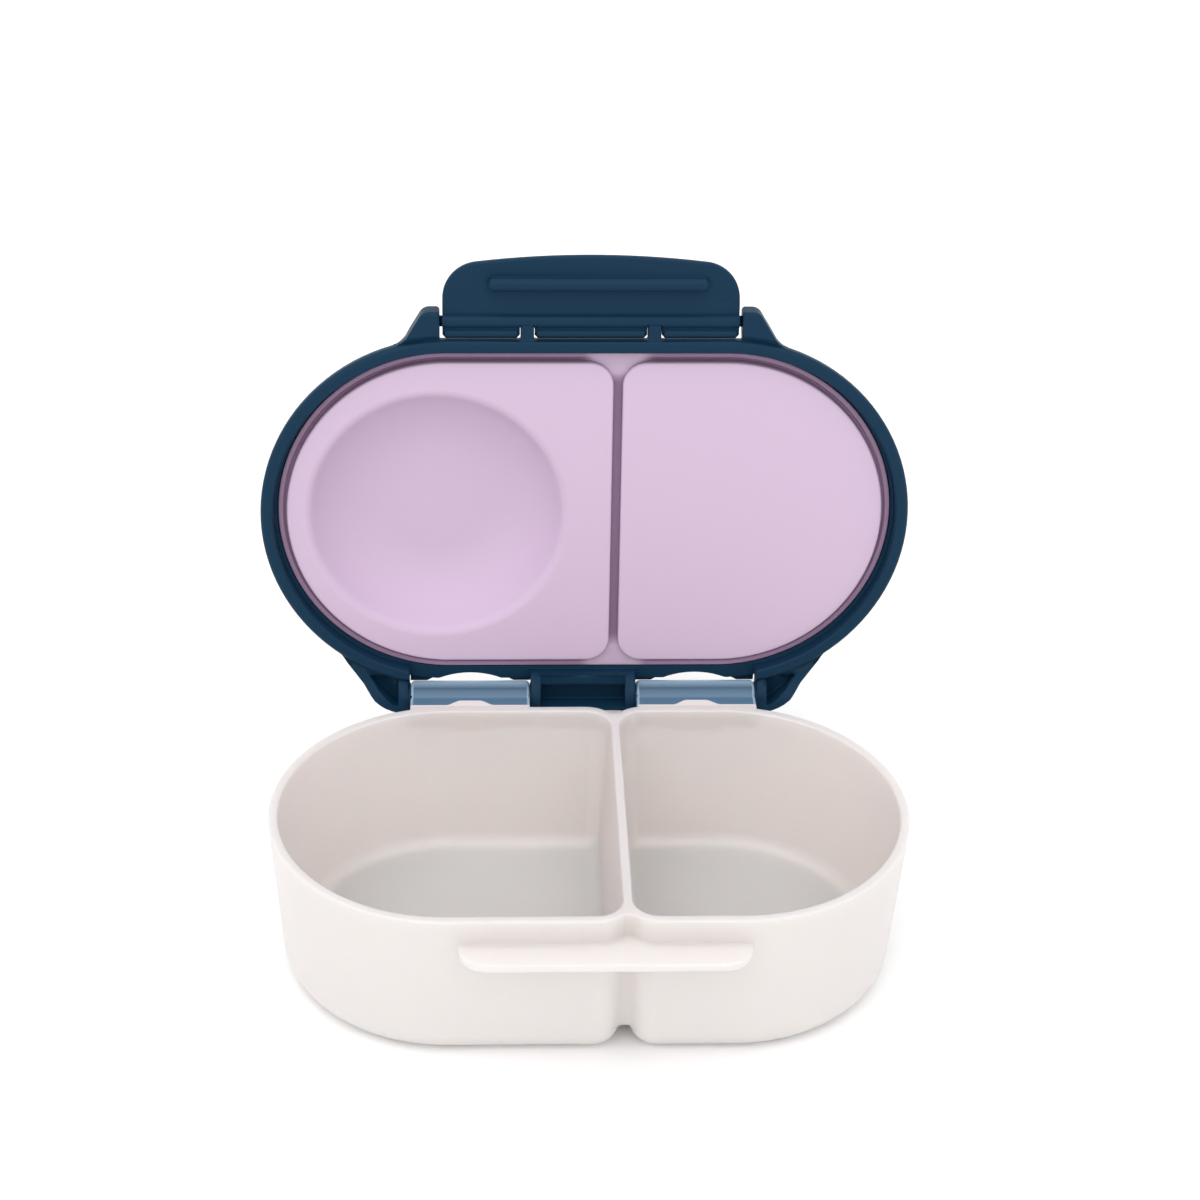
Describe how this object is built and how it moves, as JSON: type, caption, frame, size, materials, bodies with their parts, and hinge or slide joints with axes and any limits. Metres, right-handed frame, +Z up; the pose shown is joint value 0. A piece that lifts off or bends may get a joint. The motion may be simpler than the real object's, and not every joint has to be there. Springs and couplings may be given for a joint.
{
  "type": "snack container",
  "caption": "Oval divided snack box with a hinged lid standing open, a silicone seal with a round dish that domes through the lid, and a front flip latch.",
  "frame": {"origin": "on the resting plane, under the middle of the tub's rim outline", "axes": "+X along the tub to the right, +Y from the latch side to the hinge side, +Z up"},
  "size_m": [0.1678, 0.1301, 0.1617],
  "materials": {
    "frosted_polypropylene": "translucent frosted moulded polypropylene",
    "navy_polypropylene": "satin moulded polypropylene",
    "lilac_silicone": "matte moulded silicone"
  },
  "bodies": {
    "base": {"base": "frosted_polypropylene"},
    "lid": {"lid": "navy_polypropylene", "seal": "lilac_silicone"},
    "latch": {"latch": "navy_polypropylene"}
  },
  "joints": [
    {"name": "lid_hinge", "type": "hinge", "parent": "base", "child": "lid", "pos_m": [0, 0.0524, 0.0409], "axis": [1, 0, 0], "range_deg": [0, 97.7]},
    {"name": "latch_hinge", "type": "hinge", "parent": "lid", "child": "latch", "pos_m": [0, 0.0682, 0.14507], "axis": [1, 0, 0], "range_deg": [0, 90]}
  ]
}
